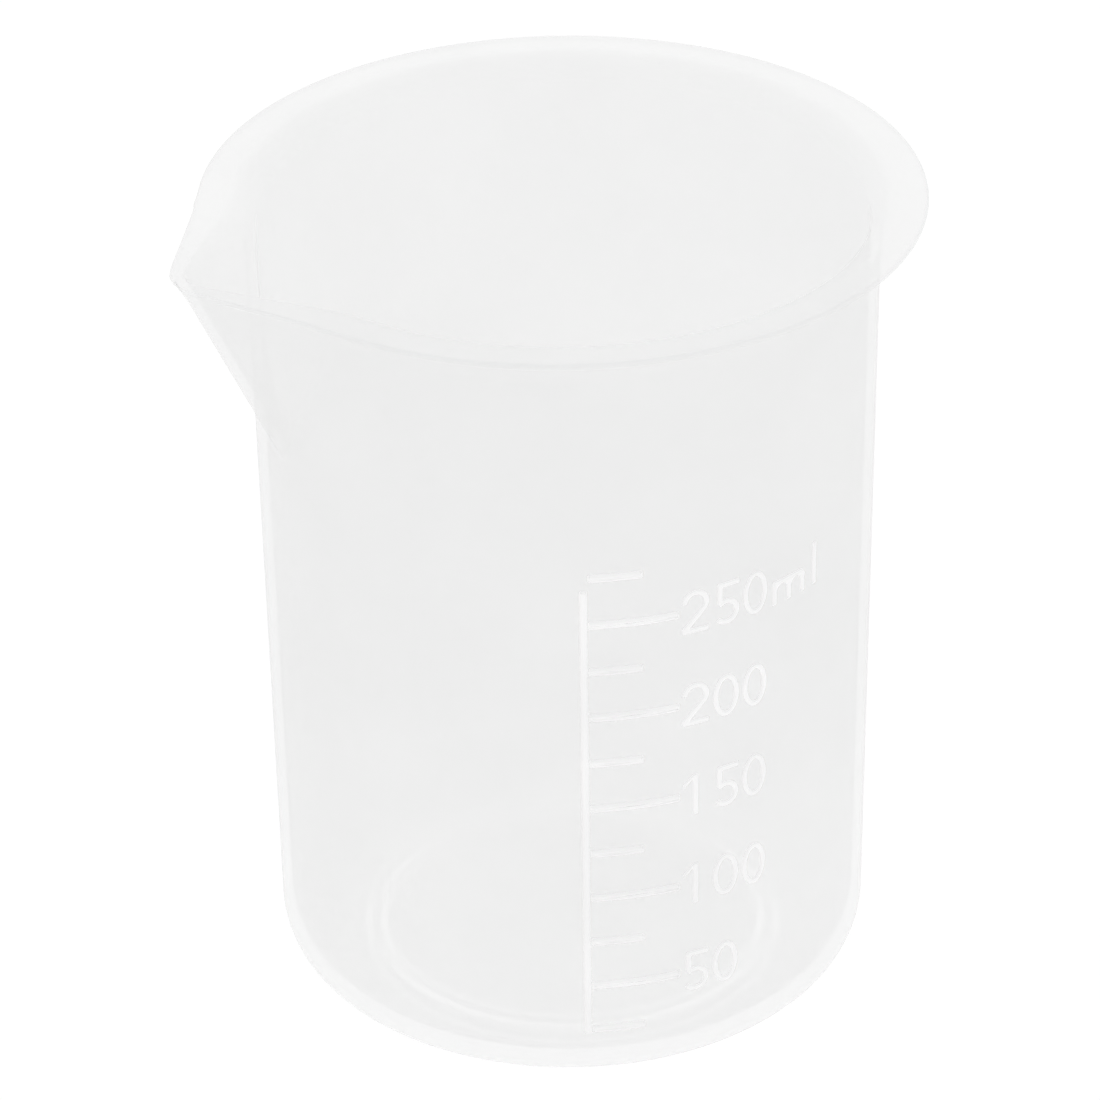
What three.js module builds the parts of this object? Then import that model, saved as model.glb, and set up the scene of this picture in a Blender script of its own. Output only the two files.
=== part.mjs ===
// A 250 ml low-form beaker, moulded in one piece from natural polypropylene.
// Millimetres, +Z up. The origin is on the vessel's axis, on the surface that the beaker stands on.
// Azimuths are in degrees, counted from -Y towards +X.
import * as THREE from 'three';

// Vessel
const height = 103;
const wallTopRadius = 37.25;       // outside, where the rim starts to flare
const wallBottomRadius = 36.1;     // outside, where the base bend ends
const wallThickness = 1.25;
const baseBendRadius = 7.4;        // outside
const floorThickness = 1.7;
const footWidth = 4.3;             // flat ring that the beaker stands on
const recessDepth = 0.8;           // underside inside the foot ring
const recessSlope = 0.5;           // draft on the recess's edge
const gateRadius = 1.5;            // moulding gate's stub, in the middle of the recess
const gateHeight = 0.4;

// Rim
const flareRadius = 4.9;           // under the rim
const lipOverhang = 0.6;           // flat stretch past the flare
const lipThickness = 0.8;
const rimInsideRadius = 3.35;      // rounding from the bore onto the rim's top

// Pouring spout
const spoutAzimuth = -45;
const spoutReach = 6.2;            // tip, past the rim
const spoutDrop = 26;              // rim to the foot of the spout's ridge
const spoutHalfWidth = 14;         // half the opening that it leaves in the wall, at the rim
const spoutBlend = 1.2;            // rounding between spout and wall
const spoutSector = 60;            // the whole spout lies within this angle of its middle
const flareFadePower = 0.65;       // how the rim's flare runs out towards the tip
const flareFadeMargin = 1.1;       // it starts this much wider than the spout's opening

// Scale: raised marks, numerals and unit, beside one upright stem
const scaleAzimuth = 21.65;        // middle of the stem
const relief = 0.35;               // how far the marks stand out
const markGap = 0.05;              // clearance between marks and wall
const stemWidth = 0.85;
const stemBelowTopMark = 1.6;
const stemBelowFirstMark = 0.6;
const markWidth = 1;
const markPitch = 6.29;            // 25 ml of the bore
const firstMarkHeight = 9.2;
const markCount = 11;
const millilitresPerMark = 25;
const shortMark = 6.4;
const longMark = 10.8;
const stemToMarkGap = 0.1;

// Numerals and unit
const digitHeight = 5.7;
const digitWidth = 3.45;
const digitGap = 0.6;
const strokeWidth = 0.65;
const labelGap = 0.3;              // end of a long mark to its numeral
const unitGap = 0.85;              // last digit to the m
const unitLetterWidth = 5.3;
const unitLetterHeight = 3.2;
const unitLetterGap = 1.55;        // m to l

// Facets
const segments = 96;
const bendSteps = 4;
const wallSteps = 5;
const curveSteps = 8;

// Values that follow from the sizes above
const degree = Math.PI / 180;
const boreTopRadius = wallTopRadius - wallThickness;
const rimRadius = wallTopRadius + flareRadius + lipOverhang;
const flareStart = height - lipThickness - flareRadius;
const spoutStart = height - spoutDrop;
const footOuterRadius = wallBottomRadius - baseBendRadius;
const footInnerRadius = footOuterRadius - footWidth;
const floorTop = recessDepth + floorThickness;
const boreBendRadius = baseBendRadius - wallThickness;
const wallTaper = Math.atan((wallTopRadius - wallBottomRadius) / (flareStart - baseBendRadius));
const topMarkHeight = firstMarkHeight + (markCount - 1) * markPitch;
const digitPitch = digitWidth + digitGap;
const digitHalfWidth = digitWidth / 2;
const digitHalfHeight = digitHeight / 2;

const polypropylene = () => new THREE.MeshStandardMaterial({
  color: 0xeceeed, roughness: 0.38, metalness: 0,
});
const raisedPolypropylene = () => new THREE.MeshStandardMaterial({
  color: 0xf6f7f7, roughness: 0.3, metalness: 0,
});

const beaker = new THREE.Group();

// Outside radius of the tapered wall, without the flare
function wallRadius(z) {
  const share = (z - baseBendRadius) / (flareStart - baseBendRadius);
  return wallBottomRadius + (wallTopRadius - wallBottomRadius) * THREE.MathUtils.clamp(share, 0, 1);
}

// Quarter turn of radius r about (centreR, centreZ), from angle a to angle b, ends included
function arc(centreR, centreZ, r, a, b, steps) {
  return Array.from({ length: steps + 1 }, (_, i) => {
    const angle = (a + (b - a) * i / steps) * degree;
    return { r: centreR + r * Math.cos(angle), z: centreZ + r * Math.sin(angle) };
  });
}

// Points up the tapered wall, inset from its outside
function wallRun(from, to, steps, inset) {
  return Array.from({ length: steps + 1 }, (_, i) => {
    const z = from + (to - from) * i / steps;
    return { r: wallRadius(z) - inset, z };
  });
}

// The section from the middle of the underside, up the outside, over the lip and down the bore.
// inset is how far the point's own wall face lies inside the outside face.
function vesselProfile() {
  const lipRound = lipThickness / 2;
  const outside = [
    { r: 0, z: recessDepth - gateHeight },
    { r: gateRadius, z: recessDepth - gateHeight },
    { r: gateRadius, z: recessDepth },
    { r: footInnerRadius - recessSlope, z: recessDepth },
    { r: footInnerRadius, z: 0 },
    ...arc(footOuterRadius, baseBendRadius, baseBendRadius, -90, 0, bendSteps),
    ...wallRun(spoutStart, flareStart, wallSteps, 0),
    ...arc(wallTopRadius + flareRadius, flareStart, flareRadius, 180, 90, bendSteps).slice(1),
    { r: rimRadius - lipRound, z: height - lipThickness },
    { r: rimRadius, z: height - lipRound },
    { r: rimRadius - lipRound, z: height },
  ];
  const inside = [
    ...arc(boreTopRadius + rimInsideRadius, height - rimInsideRadius, rimInsideRadius, 90, 180, bendSteps),
    ...wallRun(flareStart, spoutStart, wallSteps, wallThickness),
    ...arc(footOuterRadius, floorTop + boreBendRadius, boreBendRadius, 0, -90, bendSteps),
    { r: 0, z: floorTop },
  ];
  return [
    ...outside.map((p) => ({ ...p, inset: 0 })),
    ...inside.map((p) => ({ ...p, inset: wallThickness })),
  ];
}

// The larger of two radii, rounded where they cross
function blendedMax(a, b, blend) {
  const near = Math.max(blend - Math.abs(a - b), 0) / blend;
  return Math.max(a, b) + near * near * blend / 4;
}

// Outside radius of the wall at height z, with the spout's V pushed out of it.
// away is the angle from the spout's middle, in radians.
function spoutRadius(away, z) {
  const wall = wallRadius(z);
  const rise = (z - spoutStart) / spoutDrop;
  if (rise <= 0 || away > spoutSector * degree) {
    return wall;
  }
  const tip = wall + (rimRadius + spoutReach - wallTopRadius) * rise;
  const half = spoutHalfWidth * rise;
  const joinDepth = tip - Math.sqrt(wall * wall - half * half);
  const side = tip / (Math.cos(away) + Math.sin(away) * joinDepth / half);
  return blendedMax(wall, side, spoutBlend * rise);
}

// How much of the rim's flare is left, from none at the spout's tip to all of it beside the spout
function flareShare(away) {
  const fadeStart = flareFadeMargin * Math.asin(spoutHalfWidth / wallTopRadius);
  return Math.min(away / fadeStart, 1) ** flareFadePower;
}

function vessel() {
  const profile = vesselProfile();
  const section = profile.map((p) => new THREE.Vector2(p.r, p.z));
  const geometry = new THREE.LatheGeometry(section, segments);
  geometry.rotateX(Math.PI / 2);
  const position = geometry.attributes.position;
  for (let i = 0; i < position.count; i += 1) {
    const { r, z, inset } = profile[i % profile.length];
    if (z > spoutStart) {
      const azimuth = Math.atan2(position.getX(i), -position.getY(i));
      const away = Math.abs(azimuth - spoutAzimuth * degree);
      const nearest = Math.min(away, 2 * Math.PI - away);
      const flare = r - (wallRadius(z) - inset);
      const moved = spoutRadius(nearest, z) - inset + flare * flareShare(nearest);
      position.setXYZ(i, moved * Math.sin(azimuth), -moved * Math.cos(azimuth), z);
    }
  }
  geometry.computeVertexNormals();
  const mesh = new THREE.Mesh(geometry, polypropylene());
  mesh.name = 'vessel';
  return mesh;
}

// Arc length along the wall, right of the stem's middle, as an azimuth
function azimuthAt(along, z) {
  return scaleAzimuth + along / wallRadius(z) / degree;
}

// A piece that stands on the wall, `along` mm right of the stem's middle.
// Its own x runs along the wall, y up the wall and z out of it.
function onWall(mesh, along, z) {
  const turn = new THREE.Group();
  turn.rotation.z = azimuthAt(along, z) * degree;
  mesh.position.set(0, -(wallRadius(z) + markGap), z);
  mesh.rotation.x = Math.PI / 2 + wallTaper;
  turn.add(mesh);
  beaker.add(turn);
}

function extrudedPiece(name, shape, depth) {
  const geometry = new THREE.ExtrudeGeometry(shape, { depth, bevelEnabled: false, curveSegments: curveSteps });
  const mesh = new THREE.Mesh(geometry, raisedPolypropylene());
  mesh.name = name;
  return mesh;
}

function polygon(points) {
  return new THREE.Shape(points.map(([x, y]) => new THREE.Vector2(x, y)));
}

function rectangle(left, bottom, right, top) {
  return polygon([[left, bottom], [right, bottom], [right, top], [left, top]]);
}

function scaleStem() {
  const foot = firstMarkHeight - stemBelowFirstMark;
  const top = topMarkHeight - stemBelowTopMark;
  const half = (top - foot) / 2;
  const shape = rectangle(-stemWidth / 2, -half, stemWidth / 2, half);
  onWall(extrudedPiece('scale_stem', shape, relief), 0, foot + half);
}

// One graduation: a curved bar that starts beside the stem
function graduation(index) {
  const z = firstMarkHeight + index * markPitch;
  const length = index % 2 === 0 ? shortMark : longMark;
  const start = stemWidth / 2 + stemToMarkGap;
  const from = (azimuthAt(start, z) - 90) * degree;
  const to = (azimuthAt(start + length, z) - 90) * degree;
  const inner = wallRadius(z + markWidth / 2) + markGap;
  const shape = new THREE.Shape();
  shape.absarc(0, 0, inner + relief, from, to, false);
  shape.absarc(0, 0, inner, to, from, true);
  const name = `graduation_${String((index + 1) * millilitresPerMark).padStart(3, '0')}`;
  const bar = extrudedPiece(name, shape, markWidth);
  bar.position.z = z - markWidth / 2;
  beaker.add(bar);
}

// Digit outlines, centred on their own middle
function zeroShape() {
  const shape = new THREE.Shape();
  shape.absellipse(0, 0, digitHalfWidth, digitHalfHeight, 0, 2 * Math.PI);
  const hole = new THREE.Path();
  hole.absellipse(0, 0, digitHalfWidth - strokeWidth, digitHalfHeight - strokeWidth, 0, 2 * Math.PI);
  shape.holes.push(hole);
  return shape;
}

// An upright with a slanted flag
function oneShape() {
  const flag = 2 * strokeWidth;
  const left = -strokeWidth / 2;
  const top = digitHalfHeight;
  return polygon([
    [left, -top],
    [-left, -top],
    [-left, top],
    [left, top],
    [left - flag, top - flag],
    [left - flag, top - flag - strokeWidth],
    [left, top - strokeWidth],
  ]);
}

// A bowl at the top, a straight diagonal and a foot
function twoShape() {
  const bowl = digitHalfHeight - digitHalfWidth;
  const bowlEnd = -35 * degree;
  const inner = digitHalfWidth - strokeWidth;
  const foot = -digitHalfHeight + strokeWidth;
  const diagonalWidth = 1.5 * strokeWidth;
  const shape = new THREE.Shape();
  shape.moveTo(-digitHalfWidth, -digitHalfHeight);
  shape.lineTo(digitHalfWidth, -digitHalfHeight);
  shape.lineTo(digitHalfWidth, foot);
  shape.lineTo(-digitHalfWidth + diagonalWidth, foot);
  shape.absarc(0, bowl, digitHalfWidth, bowlEnd, Math.PI, false);
  shape.absarc(0, bowl, inner, Math.PI, bowlEnd, true);
  shape.lineTo(-digitHalfWidth, foot);
  return shape;
}

// A flag, an upright and a bowl that opens to the left
function fiveShape() {
  const bowl = digitHalfWidth - digitHalfHeight;
  const uprightFoot = 135 * degree;
  const bowlEnd = -145 * degree;
  const inner = digitHalfWidth - strokeWidth;
  const left = digitHalfWidth * Math.cos(uprightFoot);
  const right = left + strokeWidth;
  const bowlStart = Math.acos(right / digitHalfWidth);
  const shape = new THREE.Shape();
  shape.moveTo(left, digitHalfHeight);
  shape.lineTo(digitHalfWidth, digitHalfHeight);
  shape.lineTo(digitHalfWidth, digitHalfHeight - strokeWidth);
  shape.lineTo(right, digitHalfHeight - strokeWidth);
  shape.absarc(0, bowl, digitHalfWidth, bowlStart, bowlEnd, true);
  shape.absarc(0, bowl, inner, bowlEnd, uprightFoot, false);
  shape.lineTo(left, bowl + digitHalfWidth * Math.sin(uprightFoot));
  return shape;
}

const digitShapes = { 0: zeroShape, 1: oneShape, 2: twoShape, 5: fiveShape };

function label(index) {
  const z = firstMarkHeight + index * markPitch;
  const value = String((index + 1) * millilitresPerMark);
  const firstMiddle = stemWidth / 2 + stemToMarkGap + longMark + labelGap + digitHalfWidth;
  [...value].forEach((digit, place) => {
    const name = `numeral_${value}_digit_${place + 1}`;
    const piece = extrudedPiece(name, digitShapes[digit](), relief);
    onWall(piece, firstMiddle + place * digitPitch, z);
  });
  return firstMiddle + (value.length - 1) * digitPitch + digitHalfWidth;
}

// A comb with three teeth for the m, standing on y = 0
function letterM() {
  const edge = unitLetterWidth / 2;
  const slot = (unitLetterWidth - 3 * strokeWidth) / 2;
  const arch = slot / 2;
  const roof = unitLetterHeight - strokeWidth - arch;
  const slotMiddle = (slot + strokeWidth) / 2;
  const shape = new THREE.Shape();
  shape.moveTo(-edge, 0);
  shape.lineTo(-edge + strokeWidth, 0);
  shape.absarc(-slotMiddle, roof, arch, Math.PI, 0, true);
  shape.lineTo(-strokeWidth / 2, 0);
  shape.lineTo(strokeWidth / 2, 0);
  shape.absarc(slotMiddle, roof, arch, Math.PI, 0, true);
  shape.lineTo(edge - strokeWidth, 0);
  shape.lineTo(edge, 0);
  shape.absarc(edge - arch, unitLetterHeight - arch, arch, 0, Math.PI / 2, false);
  shape.lineTo(-edge, unitLetterHeight);
  return shape;
}

// The unit stands on the foot of its numeral
function unit(index, afterLabel) {
  const z = firstMarkHeight + index * markPitch - digitHalfHeight;
  const middleM = afterLabel + unitGap + unitLetterWidth / 2;
  const middleL = middleM + (unitLetterWidth + strokeWidth) / 2 + unitLetterGap;
  const lineL = rectangle(-strokeWidth / 2, 0, strokeWidth / 2, digitHeight);
  onWall(extrudedPiece('unit_letter_m', letterM(), relief), middleM, z);
  onWall(extrudedPiece('unit_letter_l', lineL, relief), middleL, z);
}

beaker.add(vessel());
scaleStem();
for (let index = 0; index < markCount; index += 1) {
  graduation(index);
}
let lastLabelEnd = 0;
for (let index = 1; index < markCount; index += 2) {
  lastLabelEnd = label(index);
}
unit(markCount - 2, lastLabelEnd);

export default beaker;
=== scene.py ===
import math

import bmesh
import bpy
from bpy.props import FloatProperty, FloatVectorProperty, IntProperty, PointerProperty
from mathutils import Euler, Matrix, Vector


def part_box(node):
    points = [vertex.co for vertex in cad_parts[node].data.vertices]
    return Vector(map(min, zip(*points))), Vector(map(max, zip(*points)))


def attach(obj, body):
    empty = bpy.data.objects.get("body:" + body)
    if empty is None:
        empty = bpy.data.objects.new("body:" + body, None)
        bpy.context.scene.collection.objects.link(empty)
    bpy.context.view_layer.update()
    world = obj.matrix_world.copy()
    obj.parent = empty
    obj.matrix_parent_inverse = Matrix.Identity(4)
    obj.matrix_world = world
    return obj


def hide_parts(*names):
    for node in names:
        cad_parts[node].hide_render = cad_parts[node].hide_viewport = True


bl_info = {
    "name": "Polypropylene beaker",
    "version": (1, 0, 0),
    "blender": (4, 5, 0),
    "location": "View3D > Sidebar > Beaker",
    "description": "Builds a moulded laboratory beaker with a raised scale, and its white studio",
    "category": "Add Mesh",
}

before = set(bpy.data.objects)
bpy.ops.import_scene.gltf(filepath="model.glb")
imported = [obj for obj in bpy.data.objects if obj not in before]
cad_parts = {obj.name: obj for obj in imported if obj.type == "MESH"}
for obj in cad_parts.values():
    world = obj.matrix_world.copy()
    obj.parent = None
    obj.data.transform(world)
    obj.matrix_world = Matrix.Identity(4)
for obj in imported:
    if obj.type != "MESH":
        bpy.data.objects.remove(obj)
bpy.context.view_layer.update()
CAD_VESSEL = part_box("vessel")

MM = 0.001
BODY = "root"


def length(name, description, default_mm):
    """A size that a user would change, given in millimetres and held in metres."""
    return FloatProperty(
        name=name, description=description, default=default_mm * MM, unit="LENGTH", precision=5
    )


def angle(name, description, default_degrees):
    """An angle that a user would change, given in degrees and held in radians."""
    return FloatProperty(
        name=name, description=description, default=math.radians(default_degrees), unit="ROTATION"
    )


def linear(hex_colour):
    """An sRGB hex colour as the linear red, green and blue that shaders take."""
    channels = [int(hex_colour[i : i + 2], 16) / 255 for i in (1, 3, 5)]
    return tuple(c / 12.92 if c <= 0.04045 else ((c + 0.055) / 1.055) ** 2.4 for c in channels)


def colour(name, description, hex_colour):
    """A colour that a user would change, given as an sRGB hex value."""
    return FloatVectorProperty(
        name=name, description=description, default=linear(hex_colour), subtype="COLOR", size=3, min=0, max=1
    )


class VesselSizes(bpy.types.PropertyGroup):
    """Sizes of the beaker's wall, base, rim and spout"""

    height: length("Height", "Foot to rim", CAD_VESSEL[1].z / MM)
    wall_top_radius: length("Wall radius at the top", "Outside, under the flare", 37.25)
    wall_bottom_radius: length("Wall radius at the bottom", "Outside, above the base bend", 36.1)
    wall_thickness: length("Wall thickness", "Measured across the wall", 1.25)
    base_bend: length("Base bend", "Radius of the rounded edge between wall and foot", 7.4)
    floor_thickness: length("Floor thickness", "Between the recess and the inside", 1.7)
    foot_width: length("Foot width", "Width of the ring that the beaker stands on", 4.3)
    recess_depth: length("Recess depth", "Height of the underside above the foot", 0.8)
    recess_slope: length("Recess slope", "How far the recess narrows as it goes up", 0.5)
    gate_radius: length("Gate radius", "Radius of the stub where the resin entered", 1.5)
    gate_height: length("Gate height", "How far the stub stands out of the underside", 0.4)
    flare_radius: length("Flare radius", "Outside bend from the wall to the rim", 4.9)
    lip_overhang: length("Lip overhang", "Flat part of the rim beyond the bend", 0.6)
    lip_thickness: length("Lip thickness", "Thickness of the rim's edge", 0.8)
    rim_inside_radius: length("Inside rim bend", "Bend between the inside wall and the rim", 3.35)
    edge_round: length("Edge rounding", "Rounding of the moulding's small corners", 0.3)
    spout_azimuth: angle("Spout direction", "Turn from the front to the spout", -45)
    spout_sector: angle("Spout sector", "How far round the wall the spout may reach", 60)
    spout_reach: length("Spout reach", "How far the tip stands beyond the rim", 6.2)
    spout_drop: length("Spout drop", "Height of the spout", 26)
    spout_half_width: length("Spout half width", "Half of the spout's width at the rim", 14)
    spout_blend: length("Spout blend", "Softness of the join of spout and wall", 1.2)
    ridge_round: angle("Ridge rounding", "Half of the turn that the rounded ridge takes up", 1.5)


class ScaleSizes(bpy.types.PropertyGroup):
    """Sizes of the raised scale"""

    azimuth: angle("Stem direction", "Turn from the front to the middle of the stem", 21.65)
    relief: length("Relief", "How far the scale stands out of the wall", 0.3)
    stem_width: length("Stem width", "Width of the upright line", 0.85)
    mark_width: length("Mark width", "Height of one graduation's bar", 1.0)
    mark_pitch: length("Mark pitch", "Height between two graduations", 6.29)
    first_mark: length("First mark", "Height of the lowest graduation", 9.2)
    short_mark: length("Short mark", "Length of every other graduation", 6.4)
    long_mark: length("Long mark", "Length of a numbered graduation", 10.8)
    mark_count: IntProperty(name="Graduations", description="How many graduations there are", default=11)
    step: IntProperty(name="Step", description="Millilitres from one graduation to the next", default=25)
    digit_height: length("Digit height", "Height of a digit", 5.7)
    digit_width: length("Digit width", "Width of a digit", 3.45)
    digit_gap: length("Digit gap", "Space between two digits", 0.6)
    stroke: length("Stroke", "Width of a digit's line", 0.65)
    letter_width: length("Letter m width", "Width of the letter m", 5.3)
    letter_height: length("Letter m height", "Height of the letter m", 3.2)


class BeakerColours(bpy.types.PropertyGroup):
    """Colours of the resin and the studio"""

    resin: colour("Resin", "Natural polypropylene, milky white", "#FBFBFB")
    resin_haze: colour("Resin haze", "The resin where it clouds a little more", "#F9F9F9")
    # Painted highlight: the scale's colour is whiter than the resin, so that the raised marks look lit.
    scale: colour("Scale", "The same resin on the raised scale", "#FFFFFF")
    floor: colour("Floor", "Matt white studio floor", "#FFFFFF")
    light: colour("Light", "Soft white light", "#FFFFFF")


# ---- outlines ----


def arc(centre, radius, start, end, steps):
    """Points on an arc from one angle to another, in degrees."""
    turns = [math.radians(start + (end - start) * i / steps) for i in range(steps + 1)]
    return [(centre[0] + radius * math.cos(t), centre[1] + radius * math.sin(t)) for t in turns]


def eased(points, reach, closed, steps=4):
    """The points with each sharp corner turned into a small curve that starts `reach` before it."""
    sharp = math.cos(math.radians(25))
    longest_share = 0.45
    made = []
    count = len(points)
    for i, here in enumerate(points):
        if not closed and i in (0, count - 1):
            made.append(here)
            continue
        corner = Vector(here)
        before = Vector(points[i - 1]) - corner
        after = Vector(points[(i + 1) % count]) - corner
        if -before.normalized().dot(after.normalized()) > sharp:
            made.append(here)
            continue
        start = corner + before.normalized() * min(reach, before.length * longest_share)
        end = corner + after.normalized() * min(reach, after.length * longest_share)
        for j in range(steps + 1):
            t = j / steps
            made.append(tuple(start * (1 - t) ** 2 + corner * 2 * t * (1 - t) + end * t * t))
    return made


def split(points, longest):
    """A closed outline with its long edges cut into short ones, so that it can follow the wall."""
    made = []
    for i, here in enumerate(points):
        following = Vector(points[(i + 1) % len(points)])
        pieces = max(1, math.ceil((following - Vector(here)).length / longest))
        made += [tuple(Vector(here).lerp(following, j / pieces)) for j in range(pieces)]
    return made


# ---- the vessel's shape ----


def wall_radius(s, z):
    """Outside radius of the tapered wall at height z."""
    share = (z - s.base_bend) / (s.height - s.lip_thickness - s.flare_radius - s.base_bend)
    return s.wall_bottom_radius + (s.wall_top_radius - s.wall_bottom_radius) * min(max(share, 0), 1)


def rim_radius(s):
    """Outside radius of the round rim."""
    return s.wall_top_radius + s.flare_radius + s.lip_overhang


def blended_max(a, b, blend):
    """The larger of two sizes, with a soft change between them."""
    near = max(blend - abs(a - b), 0) / blend
    return max(a, b) + near * near * blend / 4


def spout_radius(s, away, z):
    """Outside radius of the wall and spout at height z, `away` radians from the spout's middle."""
    wall = wall_radius(s, z)
    rise = (z - s.height + s.spout_drop) / s.spout_drop
    if rise <= 0 or away > s.spout_sector:
        return wall
    tip = wall + (rim_radius(s) + s.spout_reach - s.wall_top_radius) * rise
    half = s.spout_half_width * rise
    join_depth = tip - math.sqrt(wall * wall - half * half)
    rounded = math.hypot(math.sin(away), s.ridge_round) - s.ridge_round
    side = tip / (math.cos(away) + rounded * join_depth / half)
    return blended_max(wall, side, s.spout_blend * rise)


def flare_share(s, away):
    """How much of the rim's flare is left: hardly any at the spout's tip, all of it beside the spout."""
    whole_from = 1.1 * math.asin(s.spout_half_width / s.wall_top_radius)
    ease = 0.65
    least = 0.01
    return max(min(away / whole_from, 1) ** ease, least)


def wall_run(s, start, end, inset, steps):
    """Points up or down the wall, set in from its outside."""
    heights = [start + (end - start) * i / steps for i in range(steps + 1)]
    return [(wall_radius(s, z) - inset, z) for z in heights]


def vessel_profile(s):
    """(radius, height, inset) from the middle of the underside, round the rim, to the middle of the floor."""
    bend_steps = 14
    wall_steps = 8
    spout_steps = 26
    lip_steps = 8
    spout_start = s.height - s.spout_drop
    flare_start = s.height - s.lip_thickness - s.flare_radius
    foot_outer = s.wall_bottom_radius - s.base_bend
    foot_inner = foot_outer - s.foot_width
    gate_foot = s.recess_depth - s.gate_height
    lip = s.lip_thickness / 2
    bore_top = s.wall_top_radius - s.wall_thickness
    bore_bend = s.base_bend - s.wall_thickness
    floor_top = s.recess_depth + s.floor_thickness
    inside_start = s.height - s.rim_inside_radius
    outside = [(0, gate_foot), (s.gate_radius, gate_foot), (s.gate_radius, s.recess_depth)]
    outside += [(foot_inner - s.recess_slope, s.recess_depth), (foot_inner, 0)]
    outside += arc((foot_outer, s.base_bend), s.base_bend, -90, 0, bend_steps)
    outside += wall_run(s, s.base_bend, spout_start, 0, wall_steps)[1:]
    outside += wall_run(s, spout_start, flare_start, 0, spout_steps)[1:]
    flare_centre = (s.wall_top_radius + s.flare_radius, flare_start)
    outside += arc(flare_centre, s.flare_radius, 180, 90, bend_steps)[1:]
    outside += arc((rim_radius(s) - lip, s.height - lip), lip, -90, 90, lip_steps)
    inside = arc((bore_top + s.rim_inside_radius, inside_start), s.rim_inside_radius, 90, 180, bend_steps)
    inside += wall_run(s, inside_start, spout_start, s.wall_thickness, spout_steps)[1:]
    inside += wall_run(s, spout_start, floor_top + bore_bend, s.wall_thickness, wall_steps)[1:]
    inside += arc((foot_outer, floor_top + bore_bend), bore_bend, 0, -90, bend_steps)[1:]
    inside += [(0, floor_top)]
    profile = [(r, z, 0) for r, z in eased(outside, s.edge_round, False)]
    return profile + [(r, z, s.wall_thickness) for r, z in inside]


def mesh_azimuths(s):
    """Azimuths of the mesh's uprights, close together round the spout. The steps are in degrees."""
    fine_reach = 35
    fine_step = 0.5
    coarse_step = 2
    fine_steps = round(fine_reach / fine_step)
    coarse_steps = round(2 * (180 - fine_reach) / coarse_step)
    fine = [i * fine_step for i in range(-fine_steps, fine_steps + 1)]
    coarse = [fine_reach + i * coarse_step for i in range(1, coarse_steps)]
    return [s.spout_azimuth + math.radians(a) for a in fine + coarse]


def on_vessel(s, r, z, inset, azimuth):
    """A point of the profile, turned to an azimuth and drawn out where the spout is."""
    away = abs((azimuth - s.spout_azimuth + math.pi) % (2 * math.pi) - math.pi)
    if z > s.height - s.spout_drop:
        flare = r - (wall_radius(s, z) - inset)
        r = spout_radius(s, away, z) - inset + flare * flare_share(s, away)
    return (r * math.sin(azimuth), -r * math.cos(azimuth), z)


def vessel_mesh(s):
    """The whole moulding as one closed mesh."""
    profile = vessel_profile(s)
    azimuths = mesh_azimuths(s)
    columns = len(azimuths)
    rings = profile[1:-1]
    points = [on_vessel(s, r, z, inset, a) for r, z, inset in rings for a in azimuths]
    under = len(points)
    points += [(0, 0, profile[0][1]), (0, 0, profile[-1][1])]
    last = (len(rings) - 1) * columns
    faces = []
    for i in range(columns):
        j = (i + 1) % columns
        faces.append((under, j, i))
        faces.append((under + 1, last + i, last + j))
        faces += [
            (k * columns + i, k * columns + j, (k + 1) * columns + j, (k + 1) * columns + i)
            for k in range(len(rings) - 1)
        ]
    mesh = bpy.data.meshes.new("moulded_vessel")
    mesh.from_pydata(points, [], faces)
    return mesh


# ---- the scale's shapes, in millimetres ----


def zero_outline(wide, high, stroke):
    """An oval ring."""
    turns = [math.radians(6 * i) for i in range(60)]
    outer = [(wide * math.cos(t), high * math.sin(t)) for t in turns]
    inner = [((wide - stroke) * math.cos(t), (high - stroke) * math.sin(t)) for t in turns]
    return [outer, inner]


def one_outline(wide, high, stroke):
    """An upright with a slanted flag."""
    left = -stroke / 2
    flag = 2 * stroke
    return [
        [
            (left, -high),
            (-left, -high),
            (-left, high),
            (left, high),
            (left - flag, high - flag),
            (left - flag, high - flag - stroke),
            (left, high - stroke),
        ]
    ]


def two_outline(wide, high, stroke):
    """A bowl at the top, a straight diagonal and a foot."""
    bowl = high - wide
    foot = stroke - high
    tail = -35
    points = [(-wide, -high), (wide, -high), (wide, foot), (1.5 * stroke - wide, foot)]
    points += arc((0, bowl), wide, tail, 180, 22)
    points += arc((0, bowl), wide - stroke, 180, tail, 18)
    return [points + [(-wide, foot)]]


def five_outline(wide, high, stroke):
    """A flag, an upright and a bowl that opens to the left."""
    bowl = wide - high
    join = 135
    tail = -145
    left = wide * math.cos(math.radians(join))
    right = left + stroke
    start = math.degrees(math.acos(right / wide))
    points = [(left, high), (wide, high), (wide, high - stroke), (right, high - stroke)]
    points += arc((0, bowl), wide, start, tail, 24)
    points += arc((0, bowl), wide - stroke, tail, join, 24)
    return [points + [(left, bowl + wide * math.sin(math.radians(join)))]]


DIGIT_OUTLINES = {"0": zero_outline, "1": one_outline, "2": two_outline, "5": five_outline}


def bar_outline(wide, high):
    """A rectangle, centred on its middle."""
    return [[(-wide / 2, -high / 2), (wide / 2, -high / 2), (wide / 2, high / 2), (-wide / 2, high / 2)]]


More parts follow.
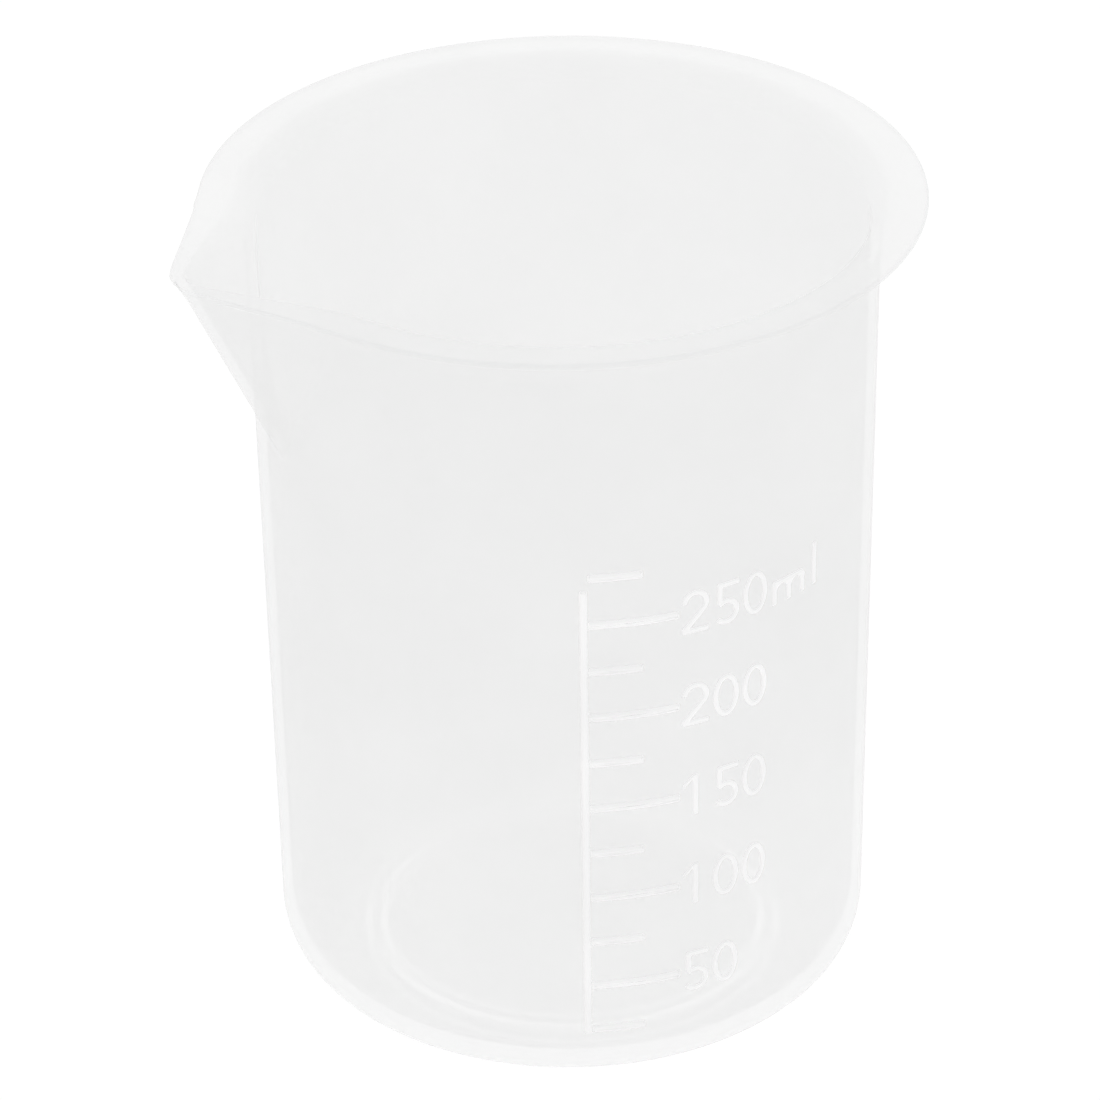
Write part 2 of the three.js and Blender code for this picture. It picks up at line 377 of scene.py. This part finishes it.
def letter_m_outline(wide, high, stroke):
    """A comb with three teeth under two arches, standing on its foot."""
    edge = wide / 2
    slot = (wide - 3 * stroke) / 2
    roof = high - stroke - slot / 2
    middle = (slot + stroke) / 2
    points = [(-edge, 0), (stroke - edge, 0)]
    points += arc((-middle, roof), slot / 2, 180, 0, 10)
    points += [(-stroke / 2, 0), (stroke / 2, 0)]
    points += arc((middle, roof), slot / 2, 180, 0, 10)
    points += [(edge - stroke, 0), (edge, 0)]
    points += arc((edge - slot / 2, high - slot / 2), slot / 2, 0, 90, 6)
    return [points + [(-edge, high)]]


def raised_mesh(name, outlines, relief, softness, on_wall):
    """A low rounded crest over flat outlines, laid on the wall by on_wall. All sizes are in millimetres."""
    sunk = 0.03
    core = 0.02
    corner = 0.2
    corner_steps = 3
    longest_edge = 0.6
    same_place = 0.002
    curve = bpy.data.curves.new(name, "CURVE")
    curve.dimensions = "2D"
    curve.fill_mode = "BOTH"
    curve.bevel_depth = softness
    curve.bevel_resolution = 4
    curve.offset = -softness
    curve.extrude = core
    for outline in outlines:
        points = split(eased(outline, corner, True, corner_steps), longest_edge)
        spline = curve.splines.new("POLY")
        spline.points.add(len(points) - 1)
        spline.points.foreach_set("co", [n for x, y in points for n in (x, y, 0, 1)])
        spline.use_cyclic_u = True
    flat = bpy.data.objects.new(name, curve)
    mesh = bpy.data.meshes.new_from_object(flat)
    bpy.data.objects.remove(flat)
    bpy.data.curves.remove(curve)
    mesh.name = name
    shape = bmesh.new()
    shape.from_mesh(mesh)
    bmesh.ops.remove_doubles(shape, verts=shape.verts, dist=same_place)
    for vert in shape.verts:
        out = -sunk
        if vert.co.z > 0:
            rise = min((vert.co.z - core) / softness, 1)
            from_edge = 1 - math.sqrt(max(1 - rise * rise, 0))
            out = relief * math.sin(from_edge * math.pi / 2)
        vert.co = on_wall(vert.co.x * MM, vert.co.y * MM, out * MM)
    bmesh.ops.recalc_face_normals(shape, faces=shape.faces)
    if shape.calc_volume(signed=True) < 0:
        bmesh.ops.reverse_faces(shape, faces=shape.faces)
    shape.to_mesh(mesh)
    shape.free()
    mesh.set_sharp_from_angle(angle=math.radians(60))
    return mesh


def wall_placer(vessel, scale, along, z):
    """Lays a flat piece on the wall, its middle `along` metres right of the stem and z high."""

    def on_wall(x, y, out):
        azimuth = scale.azimuth + (along + x) / wall_radius(vessel, z)
        radius = wall_radius(vessel, z + y) + out
        return (radius * math.sin(azimuth), -radius * math.cos(azimuth), z + y)

    return on_wall


# ---- materials ----


def add_node(tree, kind, settings, **links):
    """Adds one node, sets its options and socket values, and links its inputs."""
    node = tree.nodes.new(kind)
    for name, value in settings.items():
        if name in node.inputs:
            node.inputs[name].default_value = value
        else:
            setattr(node, name, value)
    for socket, source in links.items():
        tree.links.new(source, node.inputs[socket.replace("_", " ")])
    return node


def new_material(name):
    """An empty node material, its tree and its output."""
    material = bpy.data.materials.new(name)
    material.use_nodes = True
    material.node_tree.nodes.clear()
    output = add_node(material.node_tree, "ShaderNodeOutputMaterial", {})
    return material, material.node_tree, output


def rgba(rgb):
    """A colour with full cover, as colour sockets take it."""
    return (*rgb, 1)


def map_range(tree, value, start, end, low, high, curve="LINEAR"):
    """A value's place between start and end, laid out from low to high."""
    ends = {"From Min": start, "From Max": end, "To Min": low, "To Max": high}
    node = add_node(tree, "ShaderNodeMapRange", {"interpolation_type": curve, **ends}, Value=value)
    return node.outputs["Result"]


def combined(tree, operation, first, second):
    """Two values put together by one step of arithmetic."""
    node = add_node(tree, "ShaderNodeMath", {"operation": operation})
    tree.links.new(first, node.inputs[0])
    tree.links.new(second, node.inputs[1])
    return node.outputs["Value"]


def painted_table_light(tree, place):
    """Painted light: how much clearer the resin is made, most at the two edges inside the foot, a little in
    the low wall.

    It stands for the light that comes up from a white table, and the eye gets the pale rings in the base.
    Each edge has its radius, its half width and its share. Sizes are in millimetres.
    """
    ring_edges = ((23.7, 0.8, 1), (25.6, 0.7, 0.7))
    ring_top = 3.5
    ring_fade = 0.5
    wall_top = 32
    wall_foot = 2
    wall_share = 0.28
    flat = add_node(tree, "ShaderNodeVectorMath", {"operation": "MULTIPLY"})
    flat.inputs[1].default_value = (1 / MM, 1 / MM, 0)
    tree.links.new(place, flat.inputs[0])
    length_node = add_node(tree, "ShaderNodeVectorMath", {"operation": "LENGTH"})
    tree.links.new(flat.outputs["Vector"], length_node.inputs[0])
    radius = length_node.outputs["Value"]
    height = add_node(tree, "ShaderNodeSeparateXYZ", {}, Vector=place).outputs["Z"]
    rings = []
    for middle, width, strength in ring_edges:
        near = map_range(tree, radius, middle - width, middle, 0, strength, "SMOOTHSTEP")
        past = map_range(tree, radius, middle, middle + width, 0, strength, "SMOOTHSTEP")
        rings.append(combined(tree, "SUBTRACT", near, past))
    low = map_range(tree, height, ring_top * MM, (ring_top + ring_fade) * MM, 1, 0)
    foot = combined(tree, "MULTIPLY", combined(tree, "ADD", *rings), low)
    wall = map_range(tree, height, wall_top * MM, wall_foot * MM, 0, wall_share)
    return combined(tree, "ADD", foot, wall)


def polypropylene(name, clear, hazy, cover, roughness, texture_mm, relief_mm, glow, on_table):
    """Natural polypropylene with a fine moulded texture and slow clouds in its haze."""
    cloud_mm = 14
    edge_cover = 0.8
    edge_start = 0.88
    material, tree, output = new_material(name)
    place = add_node(tree, "ShaderNodeTexCoord", {}).outputs["Object"]
    clouds = add_node(tree, "ShaderNodeTexNoise", {"Scale": 1 / (cloud_mm * MM), "Detail": 2}, Vector=place)
    haze = map_range(tree, clouds.outputs["Fac"], 0.35, 0.65, 0, 1)
    tint = add_node(tree, "ShaderNodeMixRGB", {"Color1": rgba(clear), "Color2": rgba(hazy)}, Fac=haze)
    grain = add_node(tree, "ShaderNodeTexNoise", {"Scale": 1 / (texture_mm * MM), "Detail": 3}, Vector=place)
    bump = add_node(
        tree, "ShaderNodeBump", {"Strength": 0.35, "Distance": relief_mm * MM}, Height=grain.outputs["Fac"]
    )
    # An emission strength above 0 is painted light: only the scale uses it, and it is no lamp.
    shader = add_node(
        tree,
        "ShaderNodeBsdfPrincipled",
        {"Roughness": roughness, "IOR": 1.49, "Emission Color": rgba(clear), "Emission Strength": glow},
        Base_Color=tint.outputs["Color"],
        Normal=bump.outputs["Normal"],
    )
    facing = add_node(tree, "ShaderNodeLayerWeight", {"Blend": 0.5}).outputs["Facing"]
    dense = map_range(tree, facing, edge_start, 1, cover, max(cover, edge_cover))
    # Painted light from the table: the resin is made clearer at the foot's rings and in the low wall, so the
    # bright floor shows through there.
    if on_table:
        dense = combined(tree, "MULTIPLY", dense, map_range(tree, painted_table_light(tree, place), 0, 1, 1, 0))
    tree.links.new(dense, shader.inputs["Alpha"])
    tree.links.new(shader.outputs["BSDF"], output.inputs["Surface"])
    return material


def vessel_material(colours):
    """Injection-moulded natural polypropylene: milky, satin, and the far side shows faintly through it."""
    name = "natural_polypropylene_injection_moulded"
    made = bpy.data.materials.get(name)
    return made or polypropylene(
        name,
        colours.resin,
        colours.resin_haze,
        cover=0.4,
        roughness=0.36,
        texture_mm=0.45,
        relief_mm=0.012,
        glow=0,
        on_table=True,
    )


def scale_material(colours):
    """The same resin where the mould was engraved and polished, with painted highlight: paler lines with a
    brighter edge.

    The glow is painted light for the light that the milky wall carries to its raised edges, though the scale
    is no lamp.
    """
    name = "natural_polypropylene_scale_with_painted_highlight"
    made = bpy.data.materials.get(name)
    return made or polypropylene(
        name,
        colours.scale,
        colours.resin,
        cover=1,
        roughness=0.22,
        texture_mm=0.3,
        relief_mm=0.004,
        # Painted light: a faint glow on the scale, which is no lamp.
        glow=0.05,
        on_table=False,
    )


def floor_material(colours):
    """Matt painted studio floor: pure white to the camera, and dimmer as a source of light."""
    stipple_mm = 1.2
    relief_mm = 0.02
    glow_strength = 1.03
    lit = 0.5
    seen = 0.95
    white = rgba(colours.floor)
    material, tree, output = new_material("matt_white_studio_paint")
    place = add_node(tree, "ShaderNodeTexCoord", {}).outputs["Object"]
    stipple = add_node(tree, "ShaderNodeTexNoise", {"Scale": 1 / (stipple_mm * MM)}, Vector=place)
    bump = add_node(
        tree, "ShaderNodeBump", {"Strength": 0.1, "Distance": relief_mm * MM}, Height=stipple.outputs["Fac"]
    )
    paint = add_node(
        tree,
        "ShaderNodeBsdfPrincipled",
        {"Base Color": white, "Roughness": 0.9, "Specular IOR Level": 0.1},
        Normal=bump.outputs["Normal"],
    )
    glow = add_node(tree, "ShaderNodeEmission", {"Color": white, "Strength": glow_strength})
    path = add_node(tree, "ShaderNodeLightPath", {})
    share = map_range(tree, path.outputs["Is Camera Ray"], 0, 1, lit, seen)
    mix = add_node(tree, "ShaderNodeMixShader", {}, Fac=share)
    tree.links.new(paint.outputs["BSDF"], mix.inputs[1])
    tree.links.new(glow.outputs["Emission"], mix.inputs[2])
    tree.links.new(mix.outputs["Shader"], output.inputs["Surface"])
    return material


# ---- pieces ----


def add_piece(name, mesh, material, node):
    """A smooth-shaded piece of the beaker that stands for one node of the frame."""
    mesh.materials.append(material)
    mesh.polygons.foreach_set("use_smooth", [True] * len(mesh.polygons))
    piece = bpy.data.objects.new(name, mesh)
    bpy.context.scene.collection.objects.link(piece)
    piece.modifiers.new("Weighted normals", "WEIGHTED_NORMAL").keep_sharp = True
    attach(piece, BODY)
    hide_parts(node)
    return piece


def add_raised(node, outlines, along, z, softness, relief_share):
    """A raised piece of the scale, `along` right of the stem's middle and z high, in metres."""
    scene = bpy.context.scene
    placer = wall_placer(scene.beaker_vessel, scene.beaker_scale, along, z)
    relief = scene.beaker_scale.relief / MM * relief_share
    mesh = raised_mesh("moulded_" + node, outlines, relief, softness, placer)
    return add_piece("moulded_" + node, mesh, scale_material(scene.beaker_colours), node)


def add_character(node, outlines, along, z):
    """A raised digit or letter, lower and narrower than the scale's lines."""
    softness = 0.2
    relief_share = 0.55
    return add_raised(node, outlines, along, z, softness, relief_share)


def mark_height(scale, index):
    """Height of a graduation, counted from 0 at the lowest."""
    return scale.first_mark + index * scale.mark_pitch


def mark_start(scale):
    """Where a graduation starts, beside the stem."""
    gap = 0.1 * MM
    return scale.stem_width / 2 + gap


def digit_middle(scale, place):
    """How far right of the stem's middle a digit stands, counted from 0."""
    gap = 0.3 * MM
    first = mark_start(scale) + scale.long_mark + gap + scale.digit_width / 2
    return first + place * (scale.digit_width + scale.digit_gap)


class BEAKER_OT_vessel(bpy.types.Operator):
    """Makes the vessel: foot, base bend, wall, flared rim and spout in one moulding"""

    bl_idname = "beaker.vessel"
    bl_label = "Vessel"

    def execute(self, context):
        scene = context.scene
        mesh = vessel_mesh(scene.beaker_vessel)
        add_piece("moulded_vessel", mesh, vessel_material(scene.beaker_colours), "vessel")
        return {"FINISHED"}


class BEAKER_OT_stem(bpy.types.Operator):
    """Makes the upright line that the graduations start from"""

    bl_idname = "beaker.stem"
    bl_label = "Scale stem"

    def execute(self, context):
        scale = context.scene.beaker_scale
        below_first = 0.6 * MM
        below_last = 1.6 * MM
        softness = 0.3
        foot = mark_height(scale, 0) - below_first
        top = mark_height(scale, scale.mark_count - 1) - below_last
        outlines = bar_outline(scale.stem_width / MM, (top - foot) / MM)
        add_raised("scale_stem", outlines, 0, (foot + top) / 2, softness, 1)
        return {"FINISHED"}


class BEAKER_OT_graduations(bpy.types.Operator):
    """Makes the raised bars of the scale, short and long in turn"""

    bl_idname = "beaker.graduations"
    bl_label = "Graduations"

    def execute(self, context):
        scale = context.scene.beaker_scale
        softness = 0.34
        for index in range(scale.mark_count):
            size = scale.long_mark if index % 2 else scale.short_mark
            outlines = bar_outline(size / MM, scale.mark_width / MM)
            node = f"graduation_{(index + 1) * scale.step:03d}"
            middle = mark_start(scale) + size / 2
            add_raised(node, outlines, middle, mark_height(scale, index), softness, 1)
        return {"FINISHED"}


class BEAKER_OT_numerals(bpy.types.Operator):
    """Makes the raised digits beside the long graduations"""

    bl_idname = "beaker.numerals"
    bl_label = "Numerals"

    def execute(self, context):
        scale = context.scene.beaker_scale
        size = (scale.digit_width / 2 / MM, scale.digit_height / 2 / MM, scale.stroke / MM)
        for index in range(1, scale.mark_count, 2):
            value = str((index + 1) * scale.step)
            for place, digit in enumerate(value):
                outlines = DIGIT_OUTLINES[digit](*size)
                node = f"numeral_{value}_digit_{place + 1}"
                add_character(node, outlines, digit_middle(scale, place), mark_height(scale, index))
        return {"FINISHED"}


class BEAKER_OT_unit(bpy.types.Operator):
    """Makes the two raised letters of the unit beside the top numeral"""

    bl_idname = "beaker.unit"
    bl_label = "Unit letters"

    def execute(self, context):
        scale = context.scene.beaker_scale
        gap_m = 0.85 * MM
        gap_l = 1.55 * MM
        stroke = scale.stroke / MM
        high = scale.digit_height
        foot = mark_height(scale, scale.mark_count - 2) - high / 2
        middle_m = digit_middle(scale, 2) + scale.digit_width / 2 + gap_m + scale.letter_width / 2
        middle_l = middle_m + (scale.letter_width + scale.stroke) / 2 + gap_l
        letter_m = letter_m_outline(scale.letter_width / MM, scale.letter_height / MM, stroke)
        add_character("unit_letter_m", letter_m, middle_m, foot)
        add_character("unit_letter_l", bar_outline(stroke, high / MM), middle_l, foot + high / 2)
        return {"FINISHED"}


# ---- studio ----

# name, place in metres, side in metres, power in watts
SOFTBOXES = (
    ("softbox_behind", (-0.3, 0.75, 0.75), 0.6, 1),
    ("softbox_above", (0, 0.15, 1), 0.5, 0.1),
    ("softbox_left", (-0.66, -0.31, 0.68), 0.35, 0.1),
    ("softbox_right", (0.8, -0.35, 0.35), 0.5, 0.12),
)


def studio_world(tint):
    """Even light from all sides. Where no floor is behind the beaker, the camera meets a brighter white."""
    lit = 0.81
    seen = 1.03
    world = bpy.data.worlds.new("white_studio")
    world.use_nodes = True
    tree = world.node_tree
    tree.nodes.clear()
    around = add_node(tree, "ShaderNodeBackground", {"Color": rgba(tint), "Strength": lit})
    behind = add_node(tree, "ShaderNodeBackground", {"Color": rgba(tint), "Strength": seen})
    path = add_node(tree, "ShaderNodeLightPath", {})
    mix = add_node(tree, "ShaderNodeMixShader", {}, Fac=path.outputs["Is Camera Ray"])
    tree.links.new(around.outputs["Background"], mix.inputs[1])
    tree.links.new(behind.outputs["Background"], mix.inputs[2])
    output = add_node(tree, "ShaderNodeOutputWorld", {})
    tree.links.new(mix.outputs["Shader"], output.inputs["Surface"])
    return world


def add_softbox(name, place, target, size, power, tint):
    """A large square light that faces the target."""
    light = bpy.data.lights.new(name, "AREA")
    light.size = size
    light.energy = power
    light.color = tint
    lamp = bpy.data.objects.new(name, light)
    lamp.location = place
    lamp.rotation_euler = (Vector(target) - Vector(place)).to_track_quat("-Z", "Y").to_euler()
    bpy.context.scene.collection.objects.link(lamp)


def add_camera(scene):
    """A long lens that looks down on the beaker from the front right."""
    azimuth = math.radians(19)
    elevation = math.radians(30.5)
    roll = math.radians(-0.898)
    distance = 704.5 * MM
    aim_left = 2.117 * MM
    aim_up = 2.571 * MM
    middle = Vector((0, 0, scene.beaker_vessel.height / 2))
    back = Vector(
        (
            math.sin(azimuth) * math.cos(elevation),
            -math.cos(azimuth) * math.cos(elevation),
            math.sin(elevation),
        )
    )
    right = Vector((math.cos(azimuth), math.sin(azimuth), 0))
    aim = middle - right * aim_left + back.cross(right) * aim_up
    data = bpy.data.cameras.new("camera")
    data.sensor_width = 36
    data.lens = 190.13
    data.clip_start = 0.05
    data.clip_end = 20
    camera = bpy.data.objects.new("camera", data)
    camera.location = middle + back * distance
    look = (aim - camera.location).to_track_quat("-Z", "Y")
    camera.rotation_mode = "QUATERNION"
    camera.rotation_quaternion = look @ Euler((0, 0, roll)).to_quaternion()
    scene.collection.objects.link(camera)
    scene.camera = camera


def add_floor(scene):
    """A wide white floor just under the foot."""
    reach = 3
    sides = 96
    gap = 0.05 * MM
    shape = bmesh.new()
    bmesh.ops.create_circle(shape, cap_ends=True, radius=reach, segments=sides)
    mesh = bpy.data.meshes.new("studio_floor")
    shape.to_mesh(mesh)
    shape.free()
    mesh.materials.append(floor_material(scene.beaker_colours))
    floor = bpy.data.objects.new("studio_floor", mesh)
    floor.location.z = -gap
    scene.collection.objects.link(floor)


class BEAKER_OT_stage(bpy.types.Operator):
    """Makes the white floor, the soft lights, the surroundings and the camera"""

    bl_idname = "beaker.stage"
    bl_label = "Stage"

    def execute(self, context):
        scene = context.scene
        tint = scene.beaker_colours.light
        scene.world = studio_world(tint)
        scene.view_settings.view_transform = "Standard"
        scene.cycles.max_bounces = 24
        scene.cycles.diffuse_bounces = 16
        scene.cycles.transparent_max_bounces = 24
        middle = (0, 0, scene.beaker_vessel.height / 2)
        for name, place, size, power in SOFTBOXES:
            add_softbox(name, place, middle, size, power, tint)
        add_floor(scene)
        add_camera(scene)
        return {"FINISHED"}


STEPS = (
    BEAKER_OT_vessel,
    BEAKER_OT_stem,
    BEAKER_OT_graduations,
    BEAKER_OT_numerals,
    BEAKER_OT_unit,
    BEAKER_OT_stage,
)


class BEAKER_PT_sidebar(bpy.types.Panel):
    """Lists the beaker's pieces, sizes and colours"""

    bl_label = "Beaker"
    bl_idname = "BEAKER_PT_sidebar"
    bl_space_type = "VIEW_3D"
    bl_region_type = "UI"
    bl_category = "Beaker"

    def draw(self, context):
        scene = context.scene
        for step in STEPS:
            self.layout.operator(step.bl_idname)
        for group in (scene.beaker_vessel, scene.beaker_scale, scene.beaker_colours):
            box = self.layout.box()
            for name in group.__annotations__:
                box.prop(group, name)


GROUPS = {
    "beaker_vessel": VesselSizes,
    "beaker_scale": ScaleSizes,
    "beaker_colours": BeakerColours,
}


def register():
    for made in (*GROUPS.values(), *STEPS, BEAKER_PT_sidebar):
        bpy.utils.register_class(made)
    for name, group in GROUPS.items():
        setattr(bpy.types.Scene, name, PointerProperty(type=group))


def unregister():
    for name in GROUPS:
        delattr(bpy.types.Scene, name)
    for made in (BEAKER_PT_sidebar, *STEPS, *GROUPS.values()):
        bpy.utils.unregister_class(made)


def main():
    register()
    bpy.ops.beaker.vessel()
    bpy.ops.beaker.stem()
    bpy.ops.beaker.graduations()
    bpy.ops.beaker.numerals()
    bpy.ops.beaker.unit()
    bpy.ops.beaker.stage()


if __name__ == "__main__":
    main()
